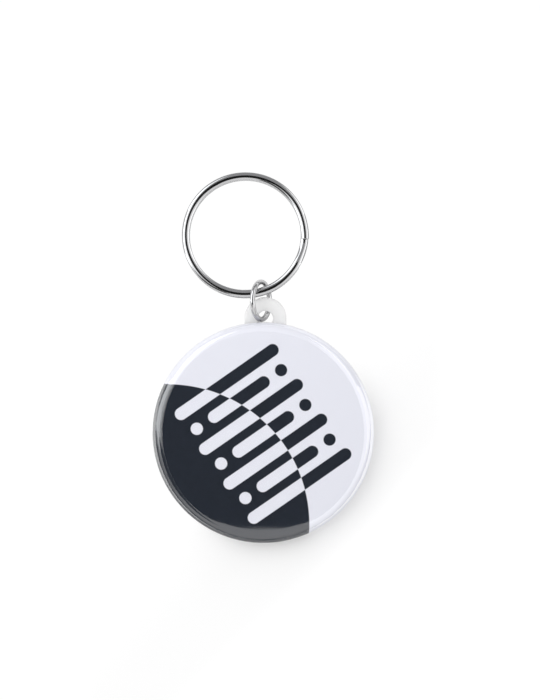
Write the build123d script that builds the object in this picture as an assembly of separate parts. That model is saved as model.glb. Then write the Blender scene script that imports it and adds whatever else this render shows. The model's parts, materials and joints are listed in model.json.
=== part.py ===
from build123d import *
import os
from math import asin, cos, degrees, radians, sin, sqrt, tan

# A round button badge on a key ring, lying face up on a table.
# Millimetres. X is to the right, Y runs from the badge to the key ring, Z is up.
# The origin is on the table, under the middle of the whole object.

# Layers of the badge front, from the outside in
badge_diameter = 44.0
film_thickness = 0.10
paper_thickness = 0.15
shell_thickness = 0.30

# Outline of the badge front
crown_radius = 210.0
shoulder_radius = 2.4
curl_radius = 0.8
curl_turn = 50
lip_width = 0.9

# Moulded back plate
plate_thickness = 1.3
plate_inset = 0.7
plate_edge_bevel = 0.25
recess_inset = 2.6
recess_depth = 0.3

# Ring on the plate that snaps in behind the rolled rim
snap_clearance = 0.08
snap_ring_wall = 1.1
bead_reach = 0.45
bead_slope = 0.6

# Lug on the back plate
lug_radius = 4.2
lug_reach = 0.67
lug_hole_diameter = 3.0
lug_root_round = 0.8

# Jump ring, bent from round wire
jump_ring_diameter = 8.5
jump_wire = 1.05
jump_joint_gap = 0.12
jump_joint_angle = 34

# Split ring, two turns of flat oval wire
split_ring_diameter = 25.2
split_wire_width = 1.6
split_wire_height = 0.9
split_wire_edge_radius = 0.28
layer_gap = 0.03
crossover_start = -22
crossover_turn = 25
end_clearance = 0.25
sprung_length = 5.4
sprung_radius = 13.6

# How the pieces lie on the table
badge_turn = -1.1
jump_ring_lean = 63.5
hole_crossing_angle = 15
hole_crossing_x_share = -0.44
hole_crossing_y_share = -0.12
ring_seat_clearance = 0.1
ring_side_angle = 13.7
tip_gap_share = 0.3
band_drop_share = 0.1

# Values that follow from those sizes
badge_radius = badge_diameter / 2
seat = plate_thickness
skin = film_thickness + paper_thickness + shell_thickness
lip_rise = lip_width * cos(radians(curl_turn))
lip_run = lip_width * sin(radians(curl_turn))
widest = seat + lip_rise + curl_radius * sin(radians(curl_turn))
crown_angle = degrees(asin((badge_radius - shoulder_radius) / (crown_radius - shoulder_radius)))
crown_centre = widest - (crown_radius - shoulder_radius) * cos(radians(crown_angle))
rim_foot = badge_radius - curl_radius * (1 - cos(radians(curl_turn))) - lip_run
plate_radius = badge_radius - plate_inset
hole_y = badge_radius + lug_reach
jump_radius = (jump_ring_diameter - jump_wire) / 2
jump_inside = jump_radius - jump_wire / 2
band_radius = (split_ring_diameter - split_wire_width) / 2
layer_pitch = split_wire_height + layer_gap
band_height = layer_pitch + split_wire_height


def skin_outline(depth):
    """The front's outline, from its middle to the rim's foot, this deep under the surface."""
    crown = CenterArc((0, crown_centre), crown_radius - depth, 90, -crown_angle)
    shoulder_centre = (badge_radius - shoulder_radius, widest)
    shoulder = CenterArc(shoulder_centre, shoulder_radius - depth, 90 - crown_angle, crown_angle - 90)
    curl = CenterArc((badge_radius - curl_radius, widest), curl_radius - depth, 0, -curl_turn)
    lip = Line(curl @ 1, curl @ 1 - Vector(lip_run, lip_rise))
    if depth > 0:
        # Inside the sheet the tight curl is a plain bevel
        curl = Line(curl @ 0, curl @ 1)
    return [crown, shoulder, curl, lip]


def front_layer(outer_depth, inner_depth):
    """One of the nested layers of the front, turned about the badge's axis."""
    outer = skin_outline(outer_depth)
    inner = skin_outline(inner_depth)
    middle = Line(outer[0] @ 0, inner[0] @ 0)
    foot = Line(outer[-1] @ 1, inner[-1] @ 1)
    section = make_face([Plane.XZ * edge for edge in outer + inner + [middle, foot]])
    return revolve(section, Axis.Z)


def clear_film():
    return front_layer(0, film_thickness)


def printed_disc():
    return front_layer(film_thickness, film_thickness + paper_thickness)


def front_shell():
    return front_layer(film_thickness + paper_thickness, skin)


def snap_ring():
    """Raised ring with a bead that holds behind the foot of the rolled rim."""
    root_radius = rim_foot - skin * cos(radians(curl_turn)) - snap_clearance
    inner_radius = root_radius - snap_ring_wall
    bead_radius = root_radius + bead_reach
    bead_foot = seat + skin * sin(radians(curl_turn)) + snap_clearance
    bead_peak = bead_foot + bead_reach / tan(radians(curl_turn))
    ring_top = bead_peak + bead_slope
    inside = plate_thickness / 2
    section = Polyline(
        (inner_radius, inside),
        (root_radius, inside),
        (root_radius, bead_foot),
        (bead_radius, bead_peak),
        (root_radius, ring_top),
        (inner_radius, ring_top),
        close=True,
    )
    return revolve(make_face(Plane.XZ * section), Axis.Z)


def back_plate():
    """Flat disc with a rounded lug in its own plane and the snap ring on its upper face."""
    disc = Circle(plate_radius)
    lug_neck = Pos(0, hole_y / 2) * Rectangle(2 * lug_radius, hole_y)
    outline = disc + lug_neck + Pos(0, hole_y) * Circle(lug_radius)
    root_y = sqrt(plate_radius**2 - lug_radius**2)
    root_corners = outline.vertices().filter_by(lambda corner: abs(corner.Y - root_y) < plate_edge_bevel)
    outline = fillet(root_corners, lug_root_round)
    plate = extrude(outline, plate_thickness)
    rims = plate.faces().filter_by(Axis.Z).edges()
    plate = chamfer(rims, plate_edge_bevel)
    plate -= Pos(0, hole_y) * extrude(Circle(lug_hole_diameter / 2), plate_thickness)
    plate -= extrude(Circle(plate_radius - recess_inset), recess_depth)
    return plate + snap_ring()


def jump_ring():
    """Ring of round wire about Z, with the joint between its two ends at its own angle."""
    joint = degrees(jump_joint_gap / jump_radius)
    wire = Pos(jump_radius, 0) * Circle(jump_wire / 2)
    ring = revolve(Plane.XZ * wire, Axis.Z, 360 - joint)
    return Rot(0, 0, joint / 2 - jump_joint_angle) * ring


def wire_oval():
    """Section of the split ring's wire: crowned above and below, round at both edges."""
    edge_x = split_wire_width / 2 - split_wire_edge_radius
    edge_y = split_wire_height / 2 - split_wire_edge_radius
    crown = (edge_x**2 / edge_y + edge_y) / 2 + split_wire_edge_radius
    crown_y = split_wire_height / 2 - crown
    half_crown = degrees(asin(edge_x / (crown - split_wire_edge_radius)))
    edge_turn = 180 - 2 * half_crown
    return make_face([
        CenterArc((0, crown_y), crown, 90 - half_crown, 2 * half_crown),
        CenterArc((-edge_x, 0), split_wire_edge_radius, 90 + half_crown, edge_turn),
        CenterArc((0, -crown_y), crown, 270 - half_crown, 2 * half_crown),
        CenterArc((edge_x, 0), split_wire_edge_radius, 270 + half_crown, edge_turn),
    ])


def wire_section(angle, height):
    """The split ring's wire cut square, at this angle round the ring."""
    return Rot(0, 0, angle) * (Plane.XZ * (Pos(band_radius, height) * wire_oval()))


def split_ring():
    """Two flat turns, joined where the wire crosses from the lower to the upper one."""
    lower = -layer_pitch / 2
    upper = layer_pitch / 2
    clearance_turn = degrees(end_clearance / band_radius)
    full = 360 - crossover_turn

    lower_turn = revolve(wire_section(crossover_start, lower), Axis.Z, full - clearance_turn)

    steps = 8
    shares = [step / steps for step in range(steps + 1)]
    crossover = loft([
        wire_section(crossover_start - share * crossover_turn, lower + layer_pitch * eased(share))
        for share in shares
    ])

    # The last stretch of the upper turn springs out a little towards its free end
    sprung_turn = degrees(sprung_length / band_radius)
    sprung_start = crossover_start + sprung_turn
    upper_turn = revolve(wire_section(sprung_start, upper), Axis.Z, full - sprung_turn)
    sprung_shift = band_radius - sprung_radius
    sprung_axis = Axis(
        (sprung_shift * cos(radians(sprung_start)), sprung_shift * sin(radians(sprung_start)), 0),
        (0, 0, -1),
    )
    sprung_arc = degrees((sprung_length - end_clearance) / sprung_radius)
    sprung_end = revolve(wire_section(sprung_start, upper), sprung_axis, sprung_arc)
    return lower_turn + crossover + upper_turn + sprung_end


def eased(share):
    """Share of a rise that starts and ends level."""
    return share * share * (3 - 2 * share)


# The badge lies on its lower edge, with its lug lifted by the jump ring that passes under it
lean = radians(jump_ring_lean)
crossing = radians(hole_crossing_angle)
along = Vector(0, 1, 0)
down = Vector(cos(lean), 0, -sin(lean))
crossing_height = jump_wire / 2 + jump_radius * sin(lean) * (1 - sin(crossing))
badge_tilt = asin((crossing_height - plate_thickness / 2) / (plate_radius + hole_y))
badge_lift = (plate_radius - plate_edge_bevel) * sin(badge_tilt)
badge_place = Pos(0, 0, badge_lift) * Rot(degrees(badge_tilt), 0, 0) * Rot(0, 0, badge_turn)
hole = (badge_place * Pos(0, hole_y, plate_thickness / 2)).position

# The jump ring leans in the lug's hole, with its lowest point on the table
hole_slack = (lug_hole_diameter - jump_wire) / 2
passing = hole + Vector(hole_crossing_x_share, hole_crossing_y_share, 0) * hole_slack
jump_centre = passing + along * (jump_radius * cos(crossing)) - down * (jump_radius * sin(crossing))
jump_plane = Plane(origin=jump_centre, x_dir=along, z_dir=Vector(sin(lean), 0, cos(lean)))

# The split ring passes between the lug's tip and the far inside of the jump ring. Its near side hangs
# beside the lug there, or lies on the lug if the jump ring is too small for that.
tip_y = hole.Y + lug_radius


def room_past_lug(height):
    """Free play of the split ring's wire between the lug's tip and the jump ring, at this height."""
    rise = (height - jump_centre.Z) / sin(lean)
    return jump_centre.Y + sqrt(jump_inside**2 - rise**2) - tip_y - split_wire_width


band_z = jump_centre.Z - band_drop_share * jump_radius
tip_gap = tip_gap_share * room_past_lug(band_z - layer_pitch / 2)
if tip_gap < ring_seat_clearance:
    lug_top = hole.Z + plate_thickness / 2 + lug_radius * sin(badge_tilt)
    band_z = lug_top + ring_seat_clearance + band_height / 2
    tip_gap = room_past_lug(band_z + layer_pitch / 2) - ring_seat_clearance

side = radians(ring_side_angle)
ring_reach = split_ring_diameter / 2 + lug_radius + tip_gap
split_centre = hole + Vector(-sin(side), cos(side), 0) * ring_reach
band_x = jump_centre.X + (jump_centre.Z - band_z) / tan(lean)
swing = asin((band_x - split_centre.X) / band_radius)
split_tilt = asin((band_z - band_height / 2) / (2 * band_radius))
split_plane = Plane(
    origin=(split_centre.X, split_centre.Y, (band_z + band_height / 2) / 2),
    x_dir=(cos(swing), sin(swing), 0),
    z_dir=(-sin(swing) * sin(split_tilt), cos(swing) * sin(split_tilt), cos(split_tilt)),
)

pieces = {
    "clear_film": badge_place * clear_film(),
    "printed_disc": badge_place * printed_disc(),
    "front_shell": badge_place * front_shell(),
    "back_plate": badge_place * back_plate(),
    "jump_ring": jump_plane * jump_ring(),
    "split_ring": split_plane * split_ring(),
}

whole = Compound(list(pieces.values())).bounding_box()
to_origin = Pos(-whole.center().X, -whole.center().Y, -whole.min.Z)
os.makedirs("parts", exist_ok=True)
for name, piece in pieces.items():
    export_step(to_origin * piece, f"parts/{name}.step")
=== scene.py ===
"""A round button badge on a split key ring, lying face up on a white table. Lengths are in metres."""

import json
from math import asin, cos, pi, radians, sin, tan

import bpy
from mathutils import Matrix, Vector


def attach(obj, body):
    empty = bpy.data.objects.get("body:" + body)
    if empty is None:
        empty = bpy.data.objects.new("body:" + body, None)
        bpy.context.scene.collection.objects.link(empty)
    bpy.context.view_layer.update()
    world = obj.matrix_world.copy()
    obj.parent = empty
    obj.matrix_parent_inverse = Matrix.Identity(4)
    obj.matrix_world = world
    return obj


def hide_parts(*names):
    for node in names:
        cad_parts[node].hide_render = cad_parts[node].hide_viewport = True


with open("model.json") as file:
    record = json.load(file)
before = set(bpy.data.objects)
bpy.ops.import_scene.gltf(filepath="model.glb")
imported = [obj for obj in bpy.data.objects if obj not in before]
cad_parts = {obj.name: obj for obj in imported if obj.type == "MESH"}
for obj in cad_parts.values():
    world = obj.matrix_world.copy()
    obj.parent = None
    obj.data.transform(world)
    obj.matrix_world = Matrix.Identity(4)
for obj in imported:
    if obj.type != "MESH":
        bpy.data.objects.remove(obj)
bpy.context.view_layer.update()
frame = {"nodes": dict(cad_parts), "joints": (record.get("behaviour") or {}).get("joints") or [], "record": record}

scene = bpy.context.scene
scene.view_settings.view_transform = "Standard"

MM = 0.001
up = Vector((0, 0, 1))

# Badge, as in the part
badge_radius = 22.0 * MM
film_thickness = 0.10 * MM
paper_thickness = 0.15 * MM
shell_thickness = 0.30 * MM
crown_radius = 210.0 * MM
shoulder_radius = 2.4 * MM
curl_radius = 0.8 * MM
curl_turn = radians(50)
lip_width = 0.9 * MM
plate_thickness = 1.3 * MM
recess_depth = 0.3 * MM
badge_turn = radians(-1.1)

# Gap under the film and under the paper, which keeps the sheets apart for the renderer
sheet_gap = 0.02 * MM

# Jump ring, with the place of its joint as an angle from the side that holds the split ring
jump_wire_radius = 1.05 * MM / 2
jump_radius = 8.5 * MM / 2 - jump_wire_radius
jump_joint_gap = 0.12 * MM
jump_joint_angle = radians(34)

# At its joint the wire is rounded off over this length, down to this share of its radius
jump_end_round = 0.24 * MM
jump_end_share = 0.62

# Split ring
split_wire_width = 1.6 * MM
split_wire_height = 0.9 * MM
split_edge_radius = 0.28 * MM
band_radius = 25.2 * MM / 2 - split_wire_width / 2
layer_pitch = 0.93 * MM
crossover_start = radians(-22)
crossover_turn = radians(25)
end_clearance = 0.25 * MM
sprung_length = 5.4 * MM
sprung_radius = 13.6 * MM

# Its cut ends are bevelled over this length, down to this share of the wire's section
cut_bevel = 0.05 * MM
cut_share = 0.9

# Fineness of the meshes: steps around, and along each stretch of an outline or a wire
badge_around = 360
crown_steps = 24
shoulder_steps = 28
curl_steps = 12
lip_steps = 4
jump_around = 40
jump_steps = 220
jump_end_steps = 5
oval_crown_steps = 14
oval_edge_steps = 8
lower_steps = 300
crossover_steps = 48
upper_steps = 280
sprung_steps = 40

# Edges that turn by more than this are sharp
sheet_crease = radians(40)
wire_crease = radians(30)

# The badge's outline, with heights above the back plate's underside
lip_rise = lip_width * cos(curl_turn)
lip_run = lip_width * sin(curl_turn)
widest = plate_thickness + lip_rise + curl_radius * sin(curl_turn)
crown_angle = asin((badge_radius - shoulder_radius) / (crown_radius - shoulder_radius))
crown_centre = widest - (crown_radius - shoulder_radius) * cos(crown_angle)


# Where the frame says the pieces lie

def axes(origin, x_dir, z_dir):
    """Placement with its X and Z along these directions."""
    z = Vector(z_dir).normalized()
    y = z.cross(Vector(x_dir)).normalized()
    x = y.cross(z)
    turn = Matrix((x, y, z)).transposed().to_4x4()
    return Matrix.Translation(Vector(origin)) @ turn


mounts = {mount["name"]: mount for mount in frame["record"]["mounts"]}
joints = {joint["name"]: joint for joint in frame["joints"]}

back_face = mounts["back_face"]
badge_up = -Vector(back_face["axis"])
badge_origin = Vector(back_face["pos_m"]) - badge_up * recess_depth
badge_place = axes(badge_origin, (1, 0, 0), badge_up) @ Matrix.Rotation(badge_turn, 4, "Z")

jump_swing = joints["jump_ring_swing"]
jump_place = axes(jump_swing["pos_m"], (0, 1, 0), jump_swing["axis"])

key_loop = mounts["key_loop"]
split_place = axes(key_loop["pos_m"], joints["split_ring_swing"]["axis"], key_loop["axis"])


# Objects and meshes

def add_object(name, data):
    added = bpy.data.objects.new(name, data)
    scene.collection.objects.link(added)
    return added


def add_piece(name, node, vertices, faces, place, body):
    """Smooth mesh, given in the piece's own frame, that rides on a body and stands for a node."""
    mesh = bpy.data.meshes.new(name)
    mesh.from_pydata([tuple(v) for v in vertices], [], faces)
    mesh.update()
    mesh.shade_smooth()
    piece = add_object(name, mesh)
    mesh.transform(place)
    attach(piece, body)
    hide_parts(node)
    return piece


def arc(centre, radius, start, turn, steps):
    """Points along an arc, both ends included."""
    angles = [start + turn * step / steps for step in range(steps + 1)]
    return [(centre[0] + radius * cos(a), centre[1] + radius * sin(a)) for a in angles]


def outwards(angle):
    """Direction from a ring's middle to its wire at this angle."""
    return Vector((cos(angle), sin(angle), 0))


def lathe(profile, around):
    """Closed solid of revolution about Z, from a profile that starts and ends on the axis."""
    vertices, faces, rings = [], [], []
    for r, z in profile:
        if r == 0:
            rings.append([len(vertices)])
            vertices.append((0, 0, z))
            continue
        rings.append(range(len(vertices), len(vertices) + around))
        vertices += [(x, y, z) for x, y in arc((0, 0), r, 0, 2 * pi, around)[:-1]]
    for first, second in zip(rings, rings[1:]):
        for step in range(around):
            following = (step + 1) % around
            if len(first) == 1:
                faces.append((second[step], second[following], first[0]))
            elif len(second) == 1:
                faces.append((second[0], first[following], first[step]))
            else:
                faces.append((second[step], second[following], first[following], first[step]))
    return vertices, faces


def tube(sections):
    """Skin over sections of equally many points, with its two flat ends as the last two faces."""
    count = len(sections[0])
    vertices = [point for section in sections for point in section]
    faces = []
    for row in range(len(sections) - 1):
        for step in range(count):
            a = row * count + step
            b = row * count + (step + 1) % count
            faces.append((a, b, b + count, a + count))
    faces.append(tuple(reversed(range(count))))
    faces.append(tuple(range(len(vertices) - count, len(vertices))))
    return vertices, faces


# Nodes of materials and of the world

class Nodes:
    """Short way to build the nodes of a material or of the world."""

    def __init__(self, owner, output):
        self.owner = owner
        owner.use_nodes = True
        self.tree = owner.node_tree
        self.tree.nodes.clear()
        self.output = self.add(output)

    def add(self, kind, inputs=None, **settings):
        """New node with these settings, and with these inputs, each by its name or number."""
        node = self.tree.nodes.new("ShaderNode" + kind)
        for name, value in settings.items():
            setattr(node, name, value)
        for key, value in (inputs or {}).items():
            self.link(node, key, value)
        return node

    def link(self, node, key, value):
        """Gives an input its value, from another node or as a constant."""
        if isinstance(value, bpy.types.Node):
            value = value.outputs[0]
        if isinstance(value, bpy.types.NodeSocket):
            self.tree.links.new(value, node.inputs[key])
        else:
            node.inputs[key].default_value = value

    def math(self, operation, *values):
        return self.add("Math", dict(enumerate(values)), operation=operation).outputs[0]

    def ramp(self, value, start, end, low=0.0, high=1.0, kind="LINEAR"):
        """Goes from low to high while a value goes from start to end, and stays level beyond them."""
        inputs = {"Value": value, "From Min": start, "From Max": end, "To Min": low, "To Max": high}
        return self.add("MapRange", inputs, interpolation_type=kind).outputs[0]

    def ease(self, value, start, end, high=1.0):
        """Ramp from 0 with soft ends."""
        return self.ramp(value, start, end, 0.0, high, "SMOOTHSTEP")

    def noise(self, place, scale, detail, roughness=0.5):
        """Noise with about this many grains to the metre, and with finer ones the higher its detail."""
        inputs = {"Vector": place, "Scale": scale, "Detail": detail, "Roughness": roughness}
        return self.add("TexNoise", inputs).outputs[0]

    def bump(self, height, strength, distance):
        """Relief of this depth where the height is 1, in metres, taken at this strength."""
        return self.add("Bump", {"Height": height, "Strength": strength, "Distance": distance})

    def mix(self, share, first, second):
        """Colour that goes from the first to the second with the share."""
        return self.add("MixRGB", {"Fac": share, "Color1": first, "Color2": second})

    def mix_shader(self, share, first, second):
        """Shader that goes from the first to the second with the share."""
        return self.add("MixShader", {0: share, 1: first, 2: second})

    def own_place(self):
        """The surface's place in the shared frame, at rest."""
        return self.add("TexCoord").outputs["Object"]

    def local(self, place):
        """The surface's place in a piece's own frame."""
        back = place.inverted()
        inputs = {"Location": back.to_translation(), "Rotation": back.to_euler(), "Vector": self.own_place()}
        return self.add("Mapping", inputs).outputs[0]

    def backfacing(self):
        """1 where a surface is seen from behind, and otherwise 0."""
        return self.add("NewGeometry").outputs["Backfacing"]

    def ray(self, kind):
        """1 for rays of this kind, and otherwise 0."""
        return self.add("LightPath").outputs["Is " + kind + " Ray"]

    def seen(self):
        """1 for rays from the camera and through clear things, and otherwise 0."""
        return self.math("MAXIMUM", self.ray("Camera"), self.ray("Transmission"))

    def finish(self, shader):
        """Puts the shader on the material or the world, and returns that."""
        self.link(self.output, "Surface", shader)
        return self.owner


def material_nodes(name):
    return Nodes(bpy.data.materials.new(name), "OutputMaterial")


def rgb(code):
    """Scene colour of a screen colour such as e3e4ee."""
    values = [int(code[i:i + 2], 16) / 255 for i in (0, 2, 4)]
    return tuple(v / 12.92 if v <= 0.04045 else ((v + 0.055) / 1.055) ** 2.4 for v in values) + (1.0,)


def grey(level):
    return (level, level, level, 1.0)


# Materials: each one's darker and lighter tone, and its roughness, as the least and the most where it varies

pale_tones = (rgb("ebecf5"), rgb("f2f3fb"))
dark_tones = (rgb("262b33"), rgb("2e333d"))
tinplate_tones = ((0.62, 0.62, 0.61, 1.0), (0.78, 0.78, 0.77, 1.0))
plastic_tones = (rgb("dfdfdf"), rgb("e8e8e8"))
plate_tones = ((0.43, 0.43, 0.435, 1.0), (0.50, 0.50, 0.505, 1.0))
cut_tones = ((0.12, 0.12, 0.12, 1.0), (0.22, 0.215, 0.21, 1.0))

film_index = 1.95
film_roughness = 0.04
paper_roughness = 0.7
tinplate_roughness = (0.22, 0.38)
plastic_roughness = (0.32, 0.46)
plastic_index = 1.49
jump_ring_roughness = (0.06, 0.13)
split_ring_roughness = (0.05, 0.11)
cut_roughness = 0.45

# Light goes about this far through the plastic
plastic_depth = 3 * MM

# Levels of the noise between which handling marks turn the plate from its smoothest to its roughest
plate_marks = (0.35, 0.7)


def film_material():
    """Clear glossy film: see-through, with a reflection that grows towards grazing angles."""
    n = material_nodes("clear_film")
    waves = n.noise(n.local(badge_place), scale=260, detail=2)
    bump = n.bump(waves, strength=0.02, distance=0.1 * MM)
    fresnel = n.add("Fresnel", {"IOR": film_index})
    share = n.math("MULTIPLY", fresnel, n.math("SUBTRACT", 1.0, n.backfacing()))
    clear = n.add("BsdfTransparent", {"Color": grey(1.0)})
    gloss = n.add("BsdfGlossy", {"Color": grey(1.0), "Roughness": film_roughness, "Normal": bump})
    return n.finish(n.mix_shader(share, clear, gloss))


# The print: a dark round field on a pale ground, and slanted bars that swap the two tones. Its sizes are
# shares of the badge's radius.
field_centre_share = (-0.83, -0.83)
field_radius_share = 1.26
bar_turn = radians(36)
bar_count = 7
bar_pitch_share = 0.19
bar_half_width_share = 0.055
long_bar_half_share = 0.50
short_bar_half_share = 0.27
dot_place_share = 0.46
ink_edge_share = 0.006

# Share of the fine grain in the paper's mottling, beside that of the blotches
grain_share = 0.6


def print_material():
    """Two-tone print under the film, with the fine mottling of printed paper."""
    n = material_nodes("two_tone_print")
    place = n.local(badge_place)
    parts = n.add("SeparateXYZ", {"Vector": place})
    x = n.math("DIVIDE", parts.outputs[0], badge_radius)
    y = n.math("DIVIDE", parts.outputs[1], badge_radius)
    along = n.math("ADD", n.math("MULTIPLY", x, cos(bar_turn)), n.math("MULTIPLY", y, sin(bar_turn)))
    across = n.math("SUBTRACT", n.math("MULTIPLY", y, cos(bar_turn)), n.math("MULTIPLY", x, sin(bar_turn)))

    def reach(dx, dy):
        return n.math("SQRT", n.math("ADD", n.math("MULTIPLY", dx, dx), n.math("MULTIPLY", dy, dy)))

    def inside(distance, size):
        """1 inside a shape and 0 outside, with a narrow soft edge of ink."""
        return n.ramp(n.math("SUBTRACT", distance, size), ink_edge_share / 2, -ink_edge_share / 2)

    def past(half):
        """Distance along the bars from this far either side of their middle."""
        return n.math("SUBTRACT", n.math("ABSOLUTE", along), half)

    field_x = n.math("SUBTRACT", x, field_centre_share[0])
    field_y = n.math("SUBTRACT", y, field_centre_share[1])
    field = inside(reach(field_x, field_y), field_radius_share)
    shapes = 0.0
    for index in range(bar_count):
        aside = n.math("SUBTRACT", across, (index - (bar_count - 1) / 2) * bar_pitch_share)
        short = index % 2 == 1
        past_end = n.math("MAXIMUM", past(short_bar_half_share if short else long_bar_half_share), 0.0)
        shapes = n.math("MAXIMUM", shapes, inside(reach(past_end, aside), bar_half_width_share))
        if short:
            dots = inside(reach(past(dot_place_share), aside), bar_half_width_share)
            shapes = n.math("MAXIMUM", shapes, dots)
    dark_share = n.math("ABSOLUTE", n.math("SUBTRACT", field, shapes))

    grain = n.math("MULTIPLY", n.noise(place, scale=5200, detail=3, roughness=0.6), grain_share)
    blotches = n.math("MULTIPLY", n.noise(place, scale=900, detail=2), 1 - grain_share)
    mottle = n.math("ADD", grain, blotches)
    ink = n.mix(dark_share, n.mix(mottle, *pale_tones), n.mix(mottle, *dark_tones))
    paper = {"Base Color": ink, "Roughness": paper_roughness, "Specular IOR Level": 0.0}
    return n.finish(n.add("BsdfPrincipled", paper))


def tinplate_material():
    """Bright rolled tinplate with fine lines along the sheet."""
    n = material_nodes("tinplate")
    stretch = n.add("Mapping", {"Vector": n.local(badge_place), "Scale": (200, 6000, 200)})
    lines = n.noise(stretch, scale=1, detail=3)
    return n.finish(n.add("BsdfPrincipled", {
        "Metallic": 1.0,
        "Base Color": n.mix(lines, *tinplate_tones),
        "Roughness": n.ramp(lines, 0.0, 1.0, *tinplate_roughness),
    }))


def plastic_material():
    """Milky moulded plastic that lets some light into its edges."""
    n = material_nodes("milky_plastic")
    place = n.own_place()
    cloud = n.noise(place, scale=350, detail=3)
    fine = n.noise(place, scale=4200, detail=2)
    return n.finish(n.add("BsdfPrincipled", {
        "Base Color": n.mix(cloud, *plastic_tones),
        "Roughness": n.ramp(fine, 0.0, 1.0, *plastic_roughness),
        "Normal": n.bump(fine, strength=0.08, distance=0.02 * MM),
        "Subsurface Weight": 1.0,
        "Subsurface Radius": (1.0, 1.0, 1.0),
        "Subsurface Scale": plastic_depth,
        "IOR": plastic_index,
    }))


def plated_material(name, roughness):
    """Nickel plate with faint handling marks and fine specks."""
    n = material_nodes(name)
    place = n.own_place()
    marks = n.noise(place, scale=1400, detail=4, roughness=0.65)
    specks = n.noise(place, scale=7000, detail=1)
    return n.finish(n.add("BsdfPrincipled", {
        "Metallic": 1.0,
        "Base Color": n.mix(marks, *plate_tones),
        "Roughness": n.ramp(marks, *plate_marks, *roughness),
        "Normal": n.bump(specks, strength=0.06, distance=0.01 * MM),
    }))


def cut_material():
    """Bare steel of a sheared wire end."""
    n = material_nodes("cut_steel")
    tears = n.noise(n.own_place(), scale=9000, detail=3)
    return n.finish(n.add("BsdfPrincipled", {
        "Metallic": 1.0,
        "Base Color": n.mix(tears, *cut_tones),
        "Roughness": cut_roughness,
        "Normal": n.bump(tears, strength=0.4, distance=0.02 * MM),
    }))


# Badge

def skin_outline(depth):
    """The front's outline from its middle to the rim's foot, this deep under the surface."""
    shoulder_centre = (badge_radius - shoulder_radius, widest)
    shoulder_start = pi / 2 - crown_angle
    curl_centre = (badge_radius - curl_radius, widest)
    points = arc((0, crown_centre), crown_radius - depth, pi / 2, -crown_angle, crown_steps)
    points += arc(shoulder_centre, shoulder_radius - depth, shoulder_start, -shoulder_start,
                  shoulder_steps)[1:]
    points += arc(curl_centre, curl_radius - depth, 0, -curl_turn, curl_steps)[1:]
    end_r, end_z = points[-1]
    for step in range(1, lip_steps + 1):
        share = step / lip_steps
        points.append((end_r - lip_run * share, end_z - lip_rise * share))
    points[0] = (0, points[0][1])
    return points


def front_layer(name, node, outer_depth, inner_depth, material):
    profile = skin_outline(outer_depth) + skin_outline(inner_depth)[::-1]
    vertices, faces = lathe(profile, badge_around)
    piece = add_piece(name, node, vertices, faces, badge_place, "badge")
    piece.data.set_sharp_from_angle(angle=sheet_crease)
    piece.data.materials.append(material)


def badge_front():
    """The three sheets, each a closed solid, from the film's surface down to the tinplate's inner side."""
    paper_top = film_thickness
    shell_top = paper_top + paper_thickness
    shell_foot = shell_top + shell_thickness
    front_layer("film_skin", "clear_film", 0, paper_top - sheet_gap, film_material())
    front_layer("print_sheet", "printed_disc", paper_top, shell_top - sheet_gap, print_material())
    front_layer("tin_shell", "front_shell", shell_top, shell_foot, tinplate_material())


def back_plate():
    """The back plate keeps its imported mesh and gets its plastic."""
    materials = frame["nodes"]["back_plate"].data.materials
    materials.clear()
    materials.append(plastic_material())


# Rings

def finish_wire(piece, plated):
    """Plates a tube, and gives its two flat ends the look of sheared steel."""
    piece.data.set_sharp_from_angle(angle=wire_crease)
    piece.data.materials.append(plated)
    piece.data.materials.append(cut_material())
    for face in piece.data.polygons[-2:]:
        face.material_index = 1


def jump_ring():
    """Ring of round wire with a thin gap at its joint."""
    half_joint = jump_joint_gap / jump_radius / 2
    start = -jump_joint_angle + half_joint
    turn = 2 * pi - 2 * half_joint
    end_turn = jump_end_round / jump_radius
    full_turn = turn - 2 * end_turn

    rounded = []
    for step in range(jump_end_steps):
        share = step / jump_end_steps
        radius = jump_wire_radius * (1 - (1 - jump_end_share) * (1 - share) ** 2)
        rounded.append((end_turn * share, radius))
    places = [end_turn + full_turn * step / jump_steps for step in range(jump_steps + 1)]
    rows = rounded + [(angle, jump_wire_radius) for angle in places]
    rows += [(turn - angle, radius) for angle, radius in reversed(rounded)]

    sections = []
    for angle, radius in rows:
        out = outwards(start + angle)
        section = arc((jump_radius, 0), radius, 0, 2 * pi, jump_around)[:-1]
        sections.append([out * r + up * z for r, z in section])
    vertices, faces = tube(sections)
    piece = add_piece("jump_ring_wire", "jump_ring", vertices, faces, jump_place,
                      "jump_ring")
    finish_wire(piece, plated_material("bright_plate", jump_ring_roughness))


def wire_oval():
    """Section of the split ring's wire: crowned above and below, round at both edges, without corners."""
    edge_x = split_wire_width / 2 - split_edge_radius
    edge_y = split_wire_height / 2 - split_edge_radius
    crown = (edge_x**2 / edge_y + edge_y) / 2 + split_edge_radius
    crown_y = split_wire_height / 2 - crown
    half = asin(edge_x / (crown - split_edge_radius))
    points = []
    for side in (1, -1):
        middle = side * pi / 2
        edge = (side * edge_x, 0)
        points += arc((0, side * crown_y), crown, middle + half, -2 * half, oval_crown_steps)[:-1]
        points += arc(edge, split_edge_radius, middle - half, 2 * half - pi, oval_edge_steps)[:-1]
    return points


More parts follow.
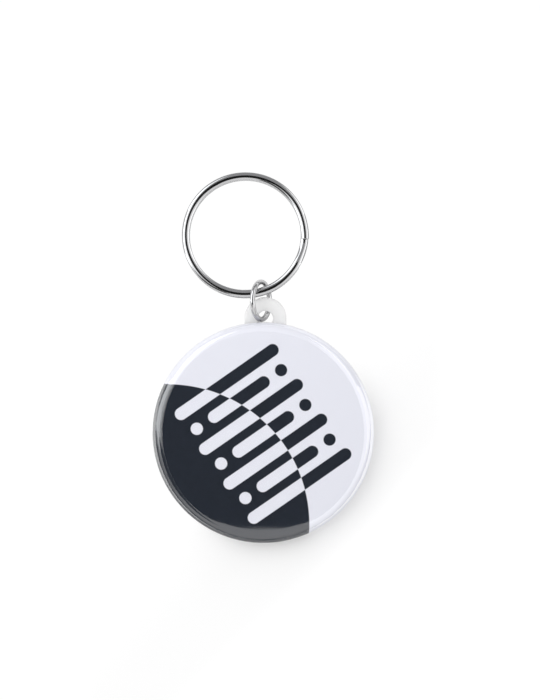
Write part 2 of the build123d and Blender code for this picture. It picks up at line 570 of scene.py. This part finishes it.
def split_path():
    """Places along the wire, from its lower to its upper end: (point on its centre line, way outwards)."""
    lower = -layer_pitch / 2
    upper = layer_pitch / 2
    full = 2 * pi - crossover_turn
    path = []

    def on_ring(angle, height):
        out = outwards(angle)
        path.append((out * band_radius + up * height, out))

    lower_turn = full - end_clearance / band_radius
    for step in range(lower_steps):
        on_ring(crossover_start + lower_turn * (1 - step / lower_steps), lower)
    for step in range(crossover_steps):
        share = step / crossover_steps
        on_ring(crossover_start - share * crossover_turn, lower + layer_pitch * share**2 * (3 - 2 * share))
    sprung_start = crossover_start + sprung_length / band_radius
    upper_turn = full - sprung_length / band_radius
    for step in range(upper_steps):
        on_ring(sprung_start + upper_turn * (1 - step / upper_steps), upper)
    sprung_centre = outwards(sprung_start) * (band_radius - sprung_radius) + up * upper
    sprung_turn = (sprung_length - end_clearance) / sprung_radius
    for step in range(sprung_steps + 1):
        out = outwards(sprung_start - sprung_turn * step / sprung_steps)
        path.append((sprung_centre + out * sprung_radius, out))
    return path


def split_ring():
    """Key ring of flat wire in two turns, whose upper end is sprung outwards."""
    oval = wire_oval()
    cut_oval = [(x * cut_share, z * cut_share) for x, z in oval]
    path = split_path()
    first, first_out = path[0]
    last, last_out = path[-1]
    after_first = first + (path[1][0] - first).normalized() * cut_bevel
    before_last = last - (last - path[-2][0]).normalized() * cut_bevel
    rows = [(first, first_out, cut_oval), (after_first, first_out, oval)]
    rows += [(point, out, oval) for point, out in path[1:-1]]
    rows += [(before_last, last_out, oval), (last, last_out, cut_oval)]
    vertices, faces = tube([[point + out * x + up * z for x, z in shape] for point, out, shape in rows])
    piece = add_piece("split_ring_wire", "split_ring", vertices, faces, split_place,
                      "split_ring")
    finish_wire(piece, plated_material("ring_plate", split_ring_roughness))


badge_front()
jump_ring()
split_ring()
back_plate()


# Table

table_half_size = 1.5
table_tone = 0.88

# Painted light: the table's glows paint out the rings' shadows to the eye, and paint reflections onto the gloss of
# the badge and the wire.
# To the eye the table turns from shaded to plain white between these places, along the diagonal that runs up
# and to the left, because the photograph shows no shadows by the rings
diagonal = radians(45)
painted_white_places = (-27 * MM, -10 * MM)
painted_white_level = 1.02

# Its shaded part glows a little, and more at the far lower right and at both sides: start, end and strength
table_glow = 0.04
low_glow = (-33 * MM, -48 * MM, 0.12)
far_glow = (32 * MM, 46 * MM, 0.08)

# To gloss alone it glows on both sides of the badge: this much, from none to all of it between these
# distances in X and these places in Y
side_glow = 1.8
side_glow_x = (22 * MM, 32 * MM)
side_glow_y = (6 * MM, -4 * MM)

# To gloss alone it glows by the rings, which lightens their outlines: start and end in Y, and strength
ring_glow = (10 * MM, 13 * MM, 0.35)


def table_material():
    """White, with painted light that makes it plain to the eye by the rings.

    It can't be seen from below, and rays that leave a diffuse surface pass it, so that an even light reaches
    the back.
    """
    n = material_nodes("white_table")
    x, y, _ = n.add("SeparateXYZ", {"Vector": n.own_place()}).outputs
    along = n.math("MULTIPLY", n.math("SUBTRACT", y, x), sin(diagonal))
    aside = n.math("ABSOLUTE", x)

    side = n.math("MULTIPLY", n.ray("Glossy"), side_glow)
    side = n.math("MULTIPLY", side, n.ease(aside, *side_glow_x))
    side = n.math("MULTIPLY", side, n.ease(y, *side_glow_y))
    to_gloss = n.math("MULTIPLY_ADD", n.ray("Glossy"), n.ease(y, *ring_glow), side)
    low = n.math("ADD", table_glow, n.ease(along, *low_glow))
    to_eye = n.math("ADD", low, n.ease(aside, *far_glow))
    # Painted light: glow where no lamp is, seen by the eye, and also in gloss alone beside the badge and by the
    # rings
    glow = n.add("Emission", {"Strength": n.math("MULTIPLY_ADD", n.seen(), to_eye, to_gloss)})

    white = n.add("BsdfDiffuse", {"Color": grey(table_tone)})
    shaded = n.add("AddShader", {0: white, 1: glow})
    # Painted white: flat emission for camera rays that paints out the shadows by the rings
    plain = n.add("Emission", {"Strength": painted_white_level})
    lit = n.mix_shader(n.math("MULTIPLY", n.seen(), n.ease(along, *painted_white_places)), shaded, plain)
    from_below = n.math("MULTIPLY", n.backfacing(), n.seen())
    passed = n.math("MAXIMUM", from_below, n.ray("Diffuse"))
    return n.finish(n.mix_shader(passed, lit, n.add("BsdfTransparent", {"Color": grey(1.0)})))


def add_face(name, corners, material):
    """Single four-sided face, for the table and the cards."""
    mesh = bpy.data.meshes.new(name)
    mesh.from_pydata(corners, [], [(0, 1, 2, 3)])
    mesh.materials.append(material)
    return add_object(name, mesh)


def table():
    half = table_half_size
    corners = [(-half, -half, 0), (half, -half, 0), (half, half, 0), (-half, half, 0)]
    floor = add_face("table", corners, table_material())


# Light

# Grey cards stand beside the rings and show only in gloss, where they give bright wire its outline: each
# one's X, its front and rear ends in Y, and its tone
card_height = 34 * MM
cards = {
    "left_card": (-60 * MM, 16 * MM, 60 * MM, 0.9),
    "right_card": (60 * MM, 10 * MM, 60 * MM, 0.55),
}

# One soft lamp, aimed at the middle of the table, which the gloss doesn't mirror
key_place = Vector((-1.00, 0.85, 1.80))
key_size = 1.8
key_power = 8.5

# What the gloss mirrors high up and near the horizon, and how far a direction rises where the one turns
# to the other
rest_level = 1.0
horizon_level = 0.35
horizon_height = (0.10, 0.30)

# It mirrors these panels too, each over the ones before it. The soft edges are pairs of degrees from
# straight up, from outside the panel to inside: left, right, front and rear. The colour comes last.
studio_panels = {
    "rear grey": ((-70, -60), (70, 60), (20, 30), (88, 85), (0.49, 0.49, 0.50, 1.0)),
    "front": ((-60, -45), (50, 40), (-80, -70), (-20, -21), grey(1.25)),
    "right": ((24, 28), (84, 80), (-45, -15), (50, 35), grey(1.5)),
    "low right": ((44, 46), (88, 84), (-45, -15), (70, 60), grey(2.4)),
    "left": ((-89.4, -88.8), (-26, -28), (-36, 2), (66, 56), (2.3, 2.35, 2.38, 1.0)),
    "low left": ((-89.4, -88.8), (-42, -46), (-36, 2), (66, 56), (3.9, 4.0, 4.08, 1.0)),
    "dark gap on the left": ((-52, -46), (-15, -19), (-42, -36), (-10, -15), grey(0.1)),
    "dark gap overhead": ((-16.5, -16), (16.5, 16), (-20.7, -20.2), (26, 25), grey(0.02)),
}

# Directions that rise less than this count as rising this much
least_height = 0.01

# Light on all that isn't gloss: its level, the share that comes from overhead, how much more comes from the
# upper left, and its level from below
fill_level = 0.97
fill_overhead = 0.5
fill_lean = 0.25
under_level = 0.9

# Mean height of the directions above a flat face, each counted by how much it lights the face
mean_height = 2 / 3


def studio():
    """White all round to the eye. Gloss mirrors panels and dark gaps, and all else gets an even fill."""
    n = Nodes(bpy.data.worlds.new("studio"), "OutputWorld")
    x, y, z = n.add("SeparateXYZ", {"Vector": n.add("TexCoord").outputs["Generated"]}).outputs
    height = n.math("MAXIMUM", z, least_height)
    across = n.math("DIVIDE", x, height)
    along = n.math("DIVIDE", y, height)

    def inside(value, edges):
        """1 between two soft edges of a panel, and 0 beyond them."""
        first, second = [n.ease(value, *(tan(radians(angle)) for angle in edge)) for edge in edges]
        return n.math("MULTIPLY", first, second)

    mirrored = n.mix(n.ease(z, *horizon_height), grey(horizon_level), grey(rest_level))
    for left, right, front, rear, colour in studio_panels.values():
        share = n.math("MULTIPLY", inside(across, (left, right)), inside(along, (front, rear)))
        mirrored = n.mix(share, mirrored, colour)

    overhead = fill_level * fill_overhead / mean_height
    even = n.math("MULTIPLY_ADD", z, overhead, fill_level * (1 - fill_overhead))
    upper_left = n.math("SUBTRACT", y, x)
    fill = n.math("MULTIPLY_ADD", upper_left, fill_level * fill_lean * sin(diagonal), even)
    under = n.math("MULTIPLY", n.math("LESS_THAN", z, 0.0), under_level)
    lighting = n.add("Background", {"Color": grey(1.0), "Strength": n.math("MAXIMUM", fill, under)})
    mirror_view = n.add("Background", {"Color": mirrored, "Strength": 1.0})
    white = n.add("Background", {"Color": grey(1.0), "Strength": 1.0})
    lit = n.mix_shader(n.ray("Glossy"), lighting, mirror_view)
    scene.world = n.finish(n.mix_shader(n.seen(), lit, white))


def grey_card(name, x, front, rear, tone):
    n = material_nodes(name)
    material = n.finish(n.add("Emission", {"Color": grey(tone)}))
    corners = [(x, front, 0), (x, rear, 0), (x, rear, card_height), (x, front, card_height)]
    card = add_face(name, corners, material)
    card.visible_camera = False
    card.visible_diffuse = False
    card.visible_transmission = False
    card.visible_shadow = False


def key_light():
    light = bpy.data.lights.new("key", "AREA")
    light.shape = "SQUARE"
    light.size = key_size
    light.energy = key_power
    lamp = add_object("key", light)
    lamp.location = key_place
    lamp.rotation_euler = (-key_place).to_track_quat("-Z", "Y").to_euler()
    lamp.visible_camera = False
    lamp.visible_glossy = False


table()
studio()
for name, values in cards.items():
    grey_card(name, *values)
key_light()


# Camera, which looks straight down

# The photograph is 540 by 700 pixels, and the badge is this many across
photo_height = 700
badge_pixels = 221.5

# Middle of the view, at the height where the badge is widest
view_middle = Vector((1.34 * MM, 1.5 * MM, 2.5 * MM))

# These two are in millimetres, as Blender has them
sensor_height = 24.0
lens = 85.0

view_height = photo_height * 2 * badge_radius / badge_pixels
camera_data = bpy.data.cameras.new("camera")
camera_data.sensor_fit = "VERTICAL"
camera_data.sensor_height = sensor_height
camera_data.lens = lens
camera = add_object("camera", camera_data)
camera.location = view_middle + up * view_height * lens / sensor_height
scene.camera = camera
